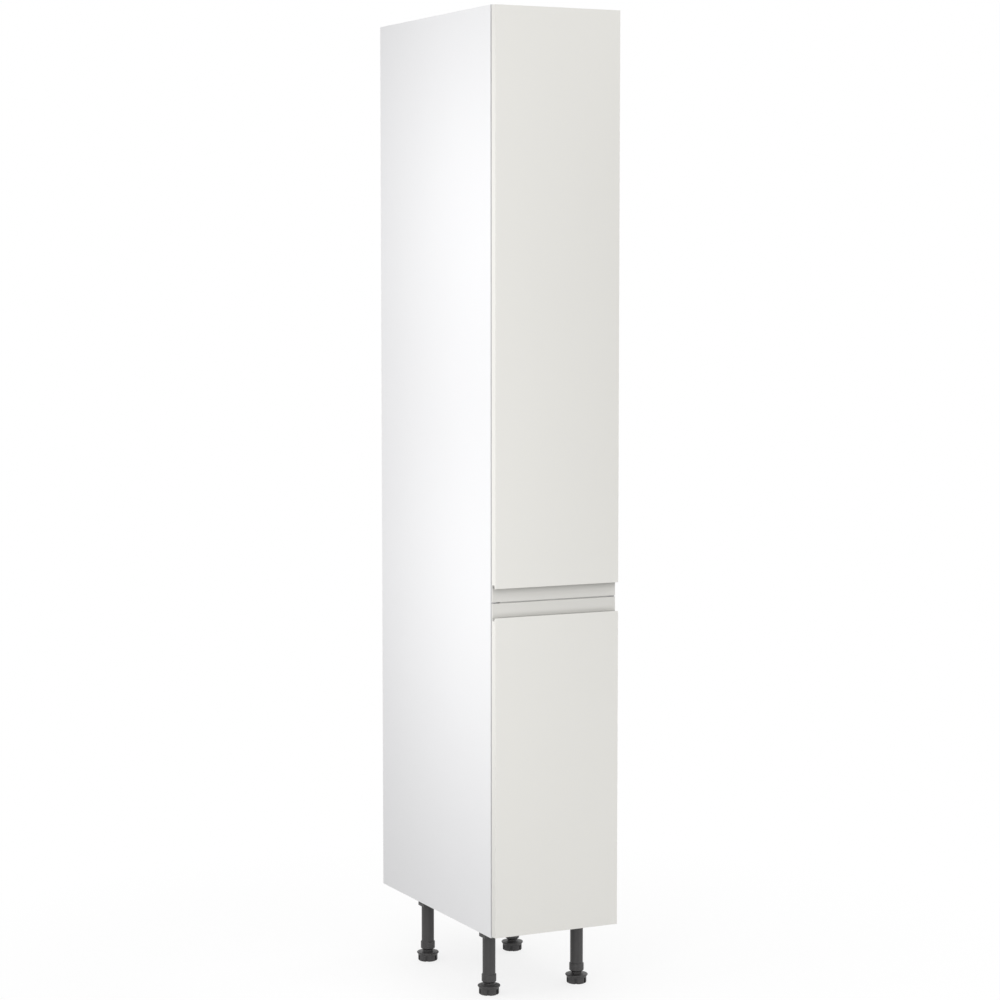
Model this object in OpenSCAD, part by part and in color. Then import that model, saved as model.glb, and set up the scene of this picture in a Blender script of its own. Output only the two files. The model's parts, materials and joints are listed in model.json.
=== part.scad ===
// Pull-out pantry cabinet. A tall carcass stands on four adjustable legs. Behind its two handleless
// fronts a full-height frame with five wire baskets rolls out on a telescopic floor runner.
// X is the width, -Y the front and Z up. The origin is on the floor below the middle of the cabinet.

/* [Carcass] */
// Width over the side panels
cabinet_w = 300; // [290:5:400]
// Depth of the side panels
carcass_d = 578; // [572:1:620]
// Height of the side panels
carcass_h = 1990; // [1960:5:2200]
// Thickness of the side, top and bottom panels
board_t = 18; // [16:0.5:19]
// Thickness of the back panel
back_t = 8; // [6:0.5:10]
// Thickness of the two rails behind the back panel
rear_rail_t = 16; // [12:1:18]
// Height of the two rails behind the back panel
rear_rail_h = 100; // [70:5:150]
// Depth of the groove that holds the back panel
groove_depth = 8; // [5:0.5:10]
// Diameter of the two wall screw holes
wall_hole_d = 8; // [6:0.5:10]
// Distance between the two wall screw holes
wall_hole_pitch = 160; // [120:10:200]

/* [Fronts] */
// Thickness of the fronts
front_t = 18; // [17:0.5:22]
// Gap between the fronts and the carcass
front_gap = 2; // [1.5:0.1:3]
// Distance of the fronts' edges from the outside of each side panel
side_reveal = 1.5; // [1:0.1:3]
// Distance of the upper front's top edge below the top of the carcass
top_reveal = 1.5; // [1:0.1:4]
// Distance of the lower front's bottom edge above the bottom of the carcass
bottom_reveal = 3.5; // [1:0.1:5]
// Height of the joint between the fronts above the bottom of the carcass
joint_height = 728; // [700:1:760]
// Gap between the two fronts
joint_gap = 3; // [2:0.1:4]
// Height of the finger recess between the two lips
recess_h = 62.5; // [50:0.5:80]
// Depth of the finger recess
recess_depth = 14; // [12:0.5:15]
// How far the recess reaches up or down behind a lip
undercut = 7; // [5:0.5:9]
// Radius at the inner end of the recess
scoop_r = 3; // [2:0.5:4]
// Width of the flat land on a lip's end
lip_land = 1.6; // [1.2:0.1:2.5]
// Radius of the fronts' visible edge at the lip
lip_r = 0.8; // [0.3:0.1:1]

/* [Legs] */
// Height of the legs, from the floor to the carcass
leg_h = 150; // [140:1:165]
// Distance of the legs' axes from the outside of the side panels
leg_side_inset = 41.4; // [36:0.2:50]
// Distance of the front legs' axes behind the front edge of the carcass
leg_front_inset = 94.3; // [80:0.1:120]
// Distance of the rear legs' axes from the rear edge of the carcass
leg_rear_inset = 160.3; // [120:0.1:180]
// Diameter of a leg's column
column_d = 28.5; // [26:0.1:30]
// Diameter of the collar at the column's lower end
collar_d = 32.5; // [31:0.1:35]
// Height of that collar
collar_h = 19.5; // [14:0.5:24]
// Diameter of a foot's flange
flange_d = 50; // [47:0.5:54]
// Diameter of a foot's notched skirt
skirt_d = 44.5; // [42:0.5:46]
// Height of a foot from the floor to the top of its flange
foot_h = 20.5; // [18:0.5:24]
// Visible height of a foot's neck between flange and collar
neck_h = 5; // [3:0.5:12]
// Diameter of a foot's neck
neck_d = 22.5; // [20:0.5:24]
// Diameter of a foot's threaded stem
stem_d = 16; // [14:0.5:17]
// Length of that stem inside the column
stem_l = 50; // [40:1:60]
// Width of the notches in a foot's skirt
notch_w = 6; // [4:0.5:8]
// Side of the square boss of a socket
socket_w = 34; // [33:0.5:38]
// Height of a socket, its plate included
socket_h = 22.5; // [18:0.5:34]
// Side of a socket's plate
plate_w = 62; // [58:1:66]
// Thickness of a socket's plate
plate_t = 4; // [3:0.5:6]

/* [Runner] */
// Travel of the pull-out
travel = 480; // [440:5:480]
// Distance of the fixed rail's front end behind the front edge of the carcass
runner_inset = 8; // [6:0.5:14]
// Length of the fixed rail
fixed_rail_l = 540; // [525:1:540]
// Length of the middle rail
middle_rail_l = 520; // [500:1:530]
// Width of the fixed rail over its walls
runner_w = 100; // [96:1:120]
// Height of the rails' walls above the bottom panel
runner_h = 30; // [29:0.5:34]
// Thickness of the rails' steel
rail_t = 2; // [1.6:0.1:2.2]
// Diameter of the bearing balls
ball_d = 5; // [4.8:0.1:5.4]
// Space between the walls of two rails
ball_gap = 4; // [3.6:0.1:4.4]
// Balls on each side of a cage
cage_balls = 8; // [4:1:12]
// Inner radius of the damper's barrel
damper_r = 5; // [4:0.5:6]

/* [Top guide] */
// Width of the guide rail under the top panel
guide_w = 34; // [32:0.5:40]
// Height of the guide rail
guide_h = 26; // [25:0.5:32]
// Distance between the two rollers
roller_pitch = 34; // [33:0.5:36]
// Height of a roller
roller_h = 12; // [10:0.5:13]
// Diameter of a roller's axle
axle_d = 8; // [6:0.5:9]

/* [Frame] */
// Distance of the frame's front tube behind the front edge of the carcass
frame_inset = 16; // [14:0.5:20]
// Depth of the frame over its two tubes, and length of the inner rail
frame_l = 500; // [480:1:500]
// Width of the tubes
tube_w = 30; // [26:1:34]
// Depth of the tubes
tube_d = 20; // [16:1:24]
// Wall of the tubes
tube_t = 2; // [1.5:0.1:2.5]
// Height of the bottom and top bars
bar_h = 40; // [36:1:50]
// Steel of the bars
bar_t = 2.5; // [2:0.1:3]
// Steel of the brackets, hangers and plates
plate_steel = 2.5; // [2:0.1:3]

/* [Baskets] */
// Width of a basket
basket_w = 230; // [200:5:236]
// Height from a basket's lowest to its highest wire
basket_h = 110; // [90:5:130]
// Height of the lowest basket above the bottom bar
basket_lift = 10; // [8:1:20]
// Distance between two baskets
basket_pitch = 365; // [340:5:370]
// Diameter of the basket's round rings
ring_d = 6; // [5:0.5:7]
// Diameter of the upright and cross wires
post_d = 4; // [3:0.5:5]
// Diameter of the long floor wires
wire_d = 3; // [2.5:0.5:4]
// Corner radius of the rings, at the wire's middle
ring_r = 25; // [20:1:40]
// Largest distance between two long floor wires
wire_step = 26; // [20:1:40]
// Largest distance between two upright wires
post_step = 62; // [50:1:90]

/* [Fasteners] */
// Diameter of the frame bolts
bolt_d = 6; // [5:0.5:6]
// Diameter of the wood screws
screw_d = 4; // [3.5:0.5:4.5]
// Diameter of the wood dowels
dowel_d = 8; // [7:0.5:8]
// Diameter of the cam locks
cam_d = 15; // [14:0.5:15]
// Distance of a cam lock's axis from the side panel
cam_reach = 34; // [30:1:36]

/* [Hidden] */
$fn = 48;

// Clearances
seat = 0.3;        // between round or moving pieces that meet without a fit
fit = 0.05;        // radial, in a running fit or a snug hole
slack = 0.5;       // of a board in its groove
bite = 0.3;        // how far two welded wires run into each other
over = 1;          // how far a cut or a joined shape reaches past the face it meets
edge = 1;          // small chamfer on moulded and turned pieces

// Carcass planes
total_d = carcass_d + front_gap + front_t;
front_face_y = -total_d / 2;
front_back_y = front_face_y + front_t;
carcass_y = front_back_y + front_gap;
rear_y = total_d / 2;
under_z = leg_h;
top_z = leg_h + carcass_h;
floor_z = under_z + board_t;
ceiling_z = top_z - board_t;
inner_w = cabinet_w - 2 * board_t;
rail_y = rear_y - rear_rail_t;
back_y = rail_y - back_t;

// Carcass fasteners: distances behind the front edge, and heights on the rear rails
cam_front = 35;
cam_rear = 60;
dowel_front = 150;
dowel_rear = 245;
cam_ys = [carcass_y + cam_front, back_y - cam_rear];
dowel_ys = [carcass_y + dowel_front, rear_y - dowel_rear];
dowel_l = 30;
dowel_in_side = 12;
cam_h = 12.5;
cam_key_d = 6;
cam_key_h = 2;
cam_bolt_d = 7;
cam_bore_d = 8;
cam_head_gap = 2;                                 // from a cam lock's axis to its bolt's head
cam_head_l = 6;
cam_collar_l = 6;
cam_thread_d = 5;
cam_thread_l = 11;
rail_dowel_edge = 20;
rail_dowel_dz = rear_rail_h / 2 - rail_dowel_edge;
board_levels = [under_z + board_t / 2, top_z - board_t / 2];
rail_levels = [floor_z + rear_rail_h / 2, ceiling_z - rear_rail_h / 2];

// Legs
leg_x = cabinet_w / 2 - leg_side_inset;
leg_ys = [carcass_y + leg_front_inset, rear_y - leg_rear_inset];
collar_z = foot_h + neck_h;
column_top_z = leg_h - plate_t;
leg_screw_edge = 7;                               // from a plate's edge
leg_screw_side = 14;                              // from the leg's axis towards the side panel
leg_screw_dxs = [-plate_w / 2 + leg_screw_edge, leg_screw_side];
leg_screw_dy = plate_w / 2 - leg_screw_edge;
leg_screw_l = 16;
plate_r = 5;
boss_r = 3;
rib_t = 3;
rib_inset = 3;                                    // from the plate's edge to a rib
rib_tip = 2;                                      // height of a rib's outer end
rib_rise = 6;                                     // from the boss's lower end to a rib
collar_slope = 3.5;
collar_edge = 0.8;
stem_room = 2;                                    // above the foot's stem
bore_tip = 4;                                     // height of the cone that ends the bore
foot_hollow = 10;
skirt_r = 3;
skirt_wall = 7;
flange_low = 6;                                   // from the foot's top to the skirt
flange_under = 2.5;                               // from the foot's top to the flange's lower edge
notch_turn = -30;
notch_depth = 5;
notch_count = 6;
notch_top = foot_h - 7;

// Runner, measured from the top of the bottom panel; every rail nests in the one outside it
bend_r = 4;
rail_step = 4;                                    // height between the bases of two rails
bulge = 8;                                        // how far a ball track may reach past its wall
fixed_y = carcass_y + runner_inset;
frame_y = carcass_y + frame_inset;
middle_y = (fixed_y + frame_y) / 2;
track_r = ball_d / 2 + seat;
fixed_half = runner_w / 2;
middle_half = fixed_half - rail_t - ball_gap;
inner_half = middle_half - rail_t - ball_gap;
outer_ball_x = middle_half + ball_gap / 2;
inner_ball_x = inner_half + ball_gap / 2;
outer_ball_z = 12;
inner_ball_drop = 7;                              // below the top of the rails' walls
inner_ball_z = runner_h - inner_ball_drop;
outer_track = [outer_ball_x, outer_ball_z];
inner_track = [inner_ball_x, inner_ball_z];
cage_t = 0.8;
cage_half_h = 4;
cage_margin = 10;
runner_screw_rows = 3;
runner_screw_ys = [
    for (k = [0.5:1:runner_screw_rows]) fixed_y + k * fixed_rail_l / runner_screw_rows
];
runner_screw_x = 20;
rail_screw_depth = 12;

// Frame
frame_end_y = frame_y + frame_l;
bar_w = tube_w + 2 * bar_t + 4 * fit;
bar_z = floor_z + 2 * rail_step + rail_t;
bar_floor_z = bar_z + bar_t;
tube_z = bar_z + bend_r;                          // the tubes end where the bars' bends begin
tube_r = 3;
guide_z = ceiling_z - guide_h;
carriage_t = 3;
carriage_gap = 3;                                 // between the carriage and the guide rail
bar_top_z = guide_z - carriage_t - carriage_gap;
tube_top_z = bar_top_z - bend_r;
bolt_head_d = 10;
bolt_head_h = 4;
nut_af = 10;
nut_h = 5;
bolt_end = 2;                                     // how far a bolt without a nut shows
hole = fit * 4;                                   // radial room of a bolt in its hole
socket_share = 0.8;                               // of a screw's thread, across its hexagon hole
bar_bolt_count = 4;
tube_ys = [frame_y + tube_d / 2, frame_end_y - tube_d / 2];
bar_bolt_low = 12;
bar_bolt_edge = 10;
bar_bolt_dzs = [bar_bolt_low, bar_h - bar_bolt_edge];    // from the base of a bar
bar_bolt_zs = concat([for (d = bar_bolt_dzs) bar_z + d], [for (d = bar_bolt_dzs) bar_top_z - d]);

// Damper
damper_wall = 1.5;
damper_l = 70;
damper_end = 3;                                   // thickness of the barrel's closed end
damper_side = 14;                                 // from the fixed rail to the damper's axis
damper_lift = 1;                                  // from the rails' height to the barrel
damper_rear = 6;                                  // from the damper to the back panel
damper_x = fixed_half + damper_side;
damper_z = floor_z + runner_h + damper_r + damper_wall + damper_lift;
damper_y = back_y - damper_rear - damper_l;
pedestal_in = 12;                                 // behind the barrel's front end
pedestal_t = 6;
pedestal_foot_t = 3;
pedestal_reach = [10, 14];                        // of its foot to the left and right
rod_out = 8;
tip_room = 2;                                     // between the tip and the barrel
piston_l = 12;
piston_rear = 5;
piston_at = damper_l - damper_end - piston_rear - piston_l;
striker_y = damper_y - rod_out - seat;
striker_lift = 1.5;                               // above the rails
striker_z = floor_z + runner_h + striker_lift;
striker_h = 17;
striker_l = 36;

// Rollers of the top guide, at the rear tube
roller_r = guide_w / 2 - rail_t - seat;
roller_inset = 15;                                // from the frame's end to the front roller
roller_ys = [frame_end_y - roller_inset, frame_end_y - roller_inset + roller_pitch];
roller_z = guide_z + (guide_h - roller_h) / 2;
roller_hub = 3;
roller_rim = 3;
roller_dish = 1.5;
roller_slope = 0.5;
shoulder_d = axle_d + 4;
axle_head_h = 1.5;
carriage_z = bar_top_z;
carriage_start = roller_ys[0] - 90;
carriage_end = roller_ys[1] + 13;
carriage_bolt_ys = [for (d = [75, 40]) roller_ys[0] - d];
sheet_r = 6;                                      // corners of the carriage and the link plate

// Baskets
basket_count = 5;
hanger_w = 44;
hook_rise = 5;
basket_face = tube_d + plate_steel + seat;        // from the frame's end to a basket's rim
basket_l = frame_l - 2 * basket_face;
basket_y = frame_y + frame_l / 2;
basket_z0 = bar_z + bar_h + basket_lift + ring_d / 2;
basket_zs = [for (k = [0:basket_count - 1]) basket_z0 + k * basket_pitch];
ring_x = (basket_w - ring_d) / 2;
ring_y = (basket_l - ring_d) / 2;
rim_z = basket_h - ring_d;
mid_share = 0.45;                                 // height of the middle ring, as a share of the rim's
mid_z = rim_z * mid_share;
post_inset = (ring_d + post_d) / 2 - bite;
wire_z = (ring_d + wire_d) / 2 - bite;
cross_z = wire_z - (post_d + wire_d) / 2 + bite;
end_post_xs = [hanger_w / 2 + post_d, ring_x - ring_r];
hanger_high = 8;
hanger_bolt_d = 5;
hanger_head_d = 9;
hanger_head_h = 2.2;
hanger_bolt_low = 18;                             // above the middle ring
hanger_bolt_high = 12;                            // below the rim
hanger_bolt_zs = [mid_z + hanger_bolt_low, rim_z - hanger_bolt_high];
wire_facets = 32;

// Fronts
front_w = cabinet_w - 2 * side_reveal;
joint_z = under_z + joint_height;
upper_h = top_z - top_reveal - joint_z - joint_gap / 2;
lower_h = joint_z - joint_gap / 2 - under_z - bottom_reveal;
lip_v = (recess_h - joint_gap) / 2;
bracket_h = 60;
bracket_w = 36;
bracket_reach = 34;
upper_z = joint_z + joint_gap / 2;
lower_z = under_z + bottom_reveal;
bracket_edge = 130;                               // from a front's end to its nearest bracket
bracket_zs = [lower_z + bracket_edge, joint_z - bracket_edge, joint_z + bracket_edge,
              (joint_z + top_z) / 2, top_z - bracket_edge];
bracket_screw_l = 12;
bracket_screw_reach = 22;
bracket_screw_x = tube_w / 2 + bracket_screw_reach;
bracket_head_d = 9;
bracket_head_h = 2.5;
bracket_hole_d = screw_d + 1;
bend_in = 1.5;                                    // inner radius of the brackets' bend
bracket_hole_dz = 18;
slot_l = 6;
bracket_bolt_zs = [for (z = bracket_zs, t = [-1, 1]) z + t * bracket_hole_dz];
link_gap = 1.5;                                   // from the link plate to the side panels
link_w = inner_w - 2 * link_gap;
link_h = 130;
link_screw_in = [10, 12];                         // from the link plate's edges

// Box from one corner to the other
module span(lo, hi) {
    translate(lo) cube(hi - lo);
}

// Straight rod from one point to another
module rod(from, to, d) {
    v = to - from;
    translate(from) rotate([0, acos(v[2] / norm(v)), atan2(v[1], v[0])])
        cylinder(d = d, h = norm(v));
}

// Cylinder along X, to the right of a point
module rod_x(at, d, l) {
    translate(at) rotate([0, 90, 0]) cylinder(d = d, h = l);
}

// Rectangle with round corners, around the origin
module round_rect(w, l, r) {
    union() {
        square([w, l - 2 * r], center = true);
        square([w - 2 * r, l], center = true);
        for (x = [-1, 1], y = [-1, 1]) translate([x * (w / 2 - r), y * (l / 2 - r)]) circle(r = r);
    }
}

// Outline drawn in X and Z, extruded to the back
module along_y(from, l) {
    translate([0, from, 0]) rotate([90, 0, 0]) mirror([0, 0, 1]) linear_extrude(l) children();
}

// Screw or bolt that points down, with its head above the origin
module fastener(d, l, head_d, head_h) {
    difference() {
        union() {
            translate([0, 0, -l]) cylinder(d = d, h = l + head_h / 2);
            cylinder(d = head_d, h = head_h);
        }
        translate([0, 0, head_h / 2]) cylinder(d = d * socket_share, h = head_h, $fn = 6);
    }
}

// Countersunk wood screw that points down, its head flush with the origin
module wood_screw(l) {
    difference() {
        union() {
            translate([0, 0, -l]) cylinder(d = screw_d, h = l);
            translate([0, 0, -rail_t]) cylinder(d1 = screw_d, d2 = 2 * screw_d, h = rail_t);
        }
        translate([0, 0, -rail_t / 2]) cylinder(d = screw_d * socket_share, h = rail_t, $fn = 6);
    }
}

// Hole for such a screw, at the top face of what it holds
module screw_hole(l) {
    translate([0, 0, -l - over]) cylinder(d = screw_d + 2 * fit, h = l + 2 * over);
    translate([0, 0, -rail_t]) cylinder(d1 = screw_d + 2 * fit, d2 = 2 * (screw_d + fit), h = rail_t);
}

// Side panel on the left; the right one is its mirror image
module side_panel() {
    x = -cabinet_w / 2;
    face = x + board_t;
    difference() {
        span([x, carcass_y, under_z], [face, rear_y, top_z]);
        span([face - groove_depth, back_y, floor_z - groove_depth],
             [face + over, rail_y, ceiling_z + groove_depth]);
        for (z = board_levels, y = cam_ys)
            rod_x([face - cam_thread_l - slack, y, z], cam_thread_d + 2 * fit, cam_thread_l + over);
        for (p = dowel_places())
            rod_x([face - dowel_in_side - slack, p[0], p[1]], dowel_d + 2 * fit, dowel_in_side + over);
    }
}

// Where the dowels run into the sides, as [y, z]
function dowel_places() = concat(
    [for (z = board_levels, y = dowel_ys) [y, z]],
    [for (z = rail_levels, s = [-1, 1]) [rear_y - rear_rail_t / 2, z + s * rail_dowel_dz]]
);

// Bores for dowels in the ends of a board between the sides
module end_bores(places) {
    for (s = [0, 1], p = places) mirror([s, 0, 0])
        rod_x([inner_w / 2 - dowel_l + dowel_in_side - slack, p[0], p[1]],
              dowel_d + 2 * fit, dowel_l);
}

// Board between the sides, drawn with its outer face up; down is 1 for the one that looks down
module shelf_board(z, down) {
    half = board_t / 2;
    translate([0, 0, z]) mirror([0, 0, down]) difference() {
        span([-inner_w / 2, carcass_y, -half], [inner_w / 2, rear_y, half]);
        span([-inner_w / 2 - over, back_y, -half - over],
             [inner_w / 2 + over, rail_y, -half + groove_depth]);
        end_bores([for (y = dowel_ys) [y, 0]]);
        for (s = [0, 1], y = cam_ys) mirror([s, 0, 0]) {
            translate([inner_w / 2 - cam_reach, y, half - cam_h])
                cylinder(d = cam_d + 2 * fit, h = cam_h + over);
            rod_x([inner_w / 2 - cam_reach, y, 0], cam_bore_d, cam_reach + over);
        }
    }
}

module bottom_panel() {
    color("white") difference() {
        shelf_board(board_levels[0], 1);
        for (p = leg_screw_places()) translate([p[0], p[1], under_z - over])
            cylinder(d = screw_d + 2 * fit, h = leg_screw_l - plate_t + slack + over);
        for (y = runner_screw_ys, s = [-1, 1])
            translate([s * runner_screw_x, y, floor_z - rail_screw_depth])
                cylinder(d = screw_d + 2 * fit, h = rail_screw_depth + over);
    }
}

module top_panel() {
    color("white") difference() {
        shelf_board(board_levels[1], 0);
        for (y = runner_screw_ys) translate([0, y, ceiling_z - over])
            cylinder(d = screw_d + 2 * fit, h = rail_screw_depth + over);
    }
}

// Cylinders for the wall screws, through the top rail and the back panel
module wall_holes() {
    for (s = [-1, 1]) translate([s * wall_hole_pitch / 2, back_y - over, rail_levels[1]])
        rotate([-90, 0, 0]) cylinder(d = wall_hole_d, h = rear_rail_t + back_t + 2 * over);
}

module back_panel() {
    in_groove = groove_depth - slack;
    half = inner_w / 2 + in_groove;
    color("white") difference() {
        span([-half, back_y, floor_z - in_groove], [half, rail_y, ceiling_z + in_groove]);
        wall_holes();
    }
}

// Rail behind the back panel, between the sides
module rear_rail(z) {
    difference() {
        span([-inner_w / 2, rail_y, z - rear_rail_h / 2], [inner_w / 2, rear_y, z + rear_rail_h / 2]);
        end_bores([for (s = [-1, 1]) [rear_y - rear_rail_t / 2, z + s * rail_dowel_dz]]);
    }
}

// Round locks let into the outer faces of the top and bottom panels, each with a bolt's hollow
module cam_locks() {
    color("silver") for (s = [0, 1], y = cam_ys, k = [0, 1])
        mirror([s, 0, 0]) translate([inner_w / 2 - cam_reach, y, board_levels[k]])
            mirror([0, 0, 1 - k]) difference() {
                translate([0, 0, board_t / 2 - cam_h]) cylinder(d = cam_d, h = cam_h);
                rod_x([0, 0, 0], cam_bore_d, cam_d);
                translate([0, 0, board_t / 2 - cam_key_h])
                    cylinder(d = cam_key_d, h = cam_key_h + over, $fn = 6);
            }
}

// Bolts from the side panels into the cam locks
module cam_bolts() {
    face = inner_w / 2;
    head = face - cam_reach + cam_head_gap;
    color("silver") for (s = [0, 1], y = cam_ys, z = board_levels) mirror([s, 0, 0]) union() {
        rod_x([head, y, z], cam_bolt_d, cam_head_l);
        rod_x([head + over, y, z], cam_thread_d, face - head - over + cam_thread_l);
        rod_x([face - cam_collar_l, y, z], cam_bolt_d, cam_collar_l);
    }
}

module wood_dowels() {
    color("burlywood") for (s = [0, 1], p = dowel_places()) mirror([s, 0, 0])
        rod_x([inner_w / 2 - dowel_l + dowel_in_side, p[0], p[1]], dowel_d, dowel_l);
}

// Where the leg plates are screwed on, as [x, y]
function leg_screw_places() = [
    for (s = [-1, 1], y = leg_ys, dx = leg_screw_dxs, b = [-1, 1])
        [s * (leg_x + dx), y + b * leg_screw_dy]
];

// Socket under the carcass: a plate, a square boss with the column's bore, and four ribs
module leg_socket() {
    low = leg_h - socket_h;
    rib_out = plate_w / 2 - rib_inset;
    difference() {
        union() {
            translate([0, 0, column_top_z]) linear_extrude(plate_t)
                round_rect(plate_w, plate_w, plate_r);
            translate([0, 0, low]) linear_extrude(socket_h) round_rect(socket_w, socket_w, boss_r);
            for (a = [0:3]) rotate([90, 0, 90 * a]) linear_extrude(rib_t, center = true) polygon([
                [socket_w / 2 - over, column_top_z + over], [rib_out, column_top_z + over],
                [rib_out, column_top_z - rib_tip], [socket_w / 2, low + rib_rise],
                [socket_w / 2 - over, low + rib_rise]
            ]);
        }
        translate([0, 0, low - over])
            cylinder(d = column_d + 2 * fit, h = socket_h - plate_t + over);
        for (dx = leg_screw_dxs, b = [-1, 1])
            translate([dx, b * leg_screw_dy, column_top_z]) rotate([180, 0, 0]) {
                screw_hole(plate_t);
                cylinder(d = 2 * (screw_d + fit), h = socket_h);
            }
    }
}

// Column with its collar, bored for the foot's stem
module leg_column() {
    r = column_d / 2;
    c = collar_d / 2;
    b = stem_d / 2 + fit;
    bore_z = collar_z + stem_l + stem_room;
    rotate_extrude() polygon([
        [b, collar_z], [neck_d / 2, collar_z], [c, collar_z + collar_slope],
        [c, collar_z + collar_h - edge], [c - collar_edge, collar_z + collar_h],
        [r, collar_z + collar_h], [r, column_top_z - edge], [r - edge, column_top_z],
        [0, column_top_z], [0, bore_z + bore_tip], [b, bore_z]
    ]);
}

// Foot: stem, neck, flange and a skirt with notches, hollow below
module leg_foot() {
    stem = stem_d / 2;
    neck = neck_d / 2;
    flange = flange_d / 2;
    skirt = skirt_d / 2;
    hollow = skirt - skirt_wall;
    stem_z = collar_z + stem_l;
    notch_z = notch_top - notch_w / 2;
    difference() {
        rotate_extrude() union() {
            polygon([
                [0, foot_hollow], [hollow - edge, foot_hollow], [hollow, foot_hollow - edge],
                [hollow, 0], [skirt - skirt_r, 0], [skirt, skirt_r], [skirt, foot_h - flange_low],
                [flange, foot_h - flange_under], [flange, foot_h - edge], [flange - edge, foot_h],
                [neck, foot_h + edge], [neck, collar_z - seat], [stem, collar_z - seat],
                [stem, stem_z - edge], [stem - edge, stem_z], [0, stem_z]
            ]);
            translate([skirt - skirt_r, skirt_r]) circle(r = skirt_r);
        }
        for (a = [0:notch_count - 1]) rotate([0, 0, a * 360 / notch_count + notch_turn])
            along_y(-skirt - over, notch_depth + over) {
                translate([-notch_w / 2, -over]) square([notch_w, notch_z + over]);
                translate([0, notch_z]) circle(d = notch_w);
            }
    }
}

module leg_screws() {
    color("silver") for (p = leg_screw_places())
        translate([p[0], p[1], column_top_z]) rotate([180, 0, 0]) wood_screw(leg_screw_l);
}

// Outline of a bent channel with its walls up and its base at z
module bent_channel(half, z, h, t, r) {
    difference() {
        channel_fill(half, z, h, r);
        channel_fill(half - t, z + t, h, r - t);
    }
}

module channel_fill(half, z, h, r) {
    union() {
        translate([-half, z + r]) square([2 * half, h - r]);
        translate([-half + r, z]) square([2 * (half - r), h]);
        for (s = [-1, 1]) translate([s * (half - r), z + r]) circle(r = r);
    }
}

// Telescopic rail: a channel whose walls are rolled round the ball tracks. A track is
// [ball x, ball z, inner x, outer x], and the wall bulges between those two x values.
module rail_outline(half, z, tracks) {
    h = runner_h - z;
    difference() {
        union() {
            intersection() {
                bent_channel(half, z, h + over, rail_t, bend_r);
                translate([-runner_w, 0]) square([2 * runner_w, runner_h]);
            }
            for (t = tracks, s = [0, 1]) mirror([s, 0]) intersection() {
                translate([t[0], t[1]]) circle(r = track_r + rail_t);
                translate([t[2], 0]) square([t[3] - t[2], runner_h]);
            }
        }
        for (t = tracks, s = [-1, 1]) translate([s * t[0], t[1]]) circle(r = track_r);
    }
}

module runner_fixed_rail() {
    color("lightgray") difference() {
        translate([0, 0, floor_z]) along_y(fixed_y, fixed_rail_l)
            rail_outline(fixed_half, 0,
                         [concat(outer_track, [fixed_half - rail_t, fixed_half + bulge])]);
        for (y = runner_screw_ys, s = [-1, 1])
            translate([s * runner_screw_x, y, floor_z + rail_t]) screw_hole(rail_t);
    }
}

module runner_middle_rail() {
    color("lightgray") translate([0, 0, floor_z]) along_y(middle_y, middle_rail_l)
        rail_outline(middle_half, rail_step,
                     [concat(outer_track, [middle_half - bulge, middle_half]),
                      concat(inner_track, [middle_half - rail_t, middle_half + bulge])]);
}

module runner_inner_rail() {
    color("lightgray") difference() {
        translate([0, 0, floor_z]) along_y(frame_y, frame_l)
            rail_outline(inner_half, 2 * rail_step,
                         [concat(inner_track, [inner_half - bulge, inner_half])]);
        for (y = bar_bolt_ys()) translate([0, y, bar_z - rail_t - over])
            cylinder(d = bolt_d + 2 * hole, h = rail_t + 2 * over);
    }
}

// Two strips with their balls, one on each side
module ball_cage(x, z, from, to) {
    step = (to - from) / cage_balls;
    for (s = [-1, 1]) {
        difference() {
            span([s * x - cage_t / 2, from, floor_z + z - cage_half_h],
                 [s * x + cage_t / 2, to, floor_z + z + cage_half_h]);
            for (k = [0.5:1:cage_balls]) rod_x([s * x - cage_t, from + k * step, floor_z + z],
                                               ball_d + seat, 2 * cage_t);
        }
        for (k = [0.5:1:cage_balls]) translate([s * x, from + k * step, floor_z + z]) sphere(d = ball_d);
    }
}

module ball_cage_outer() {
    color("goldenrod") ball_cage(outer_ball_x, outer_ball_z, fixed_y + travel / 4 + cage_margin,
                                 middle_y + middle_rail_l - travel / 4 - cage_margin);
}

module ball_cage_inner() {
    color("goldenrod") ball_cage(inner_ball_x, inner_ball_z, middle_y + travel / 4 + cage_margin,
                                 frame_end_y - travel / 4 - cage_margin);
}

module runner_screws() {
    color("silver") for (y = runner_screw_ys, s = [-1, 1])
        translate([s * runner_screw_x, y, floor_z + rail_t])
            wood_screw(rail_screw_depth + rail_t - slack);
}

// Soft-close damper beside the rails, at the rear
module damper_body() {
    color("dimgray") difference() {
        union() {
            translate([damper_x, damper_y, damper_z]) rotate([-90, 0, 0])
                cylinder(r = damper_r + damper_wall, h = damper_l);
            along_y(damper_y + pedestal_in, damper_l - pedestal_in) translate([damper_x, floor_z]) {
                translate([-pedestal_t / 2, 0]) square([pedestal_t, damper_z - floor_z]);
                translate([-pedestal_reach[0], 0])
                    square([pedestal_reach[0] + pedestal_reach[1], pedestal_foot_t]);
            }
        }
        translate([damper_x, damper_y - over, damper_z]) rotate([-90, 0, 0])
            cylinder(r = damper_r, h = damper_l - damper_end + over);
    }
}

// Piston, rod and tip, pushed in as they are while the cabinet is closed
module damper_rod() {
    color("whitesmoke") translate([damper_x, damper_y, damper_z]) rotate([-90, 0, 0]) union() {
        translate([0, 0, piston_at]) cylinder(r = damper_r - fit, h = piston_l);
        translate([0, 0, -rod_out]) cylinder(r = damper_r / 2, h = piston_at + rod_out + bite);
        translate([0, 0, -rod_out]) cylinder(r = damper_r - slack, h = rod_out - tip_room);
    }
}

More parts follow.
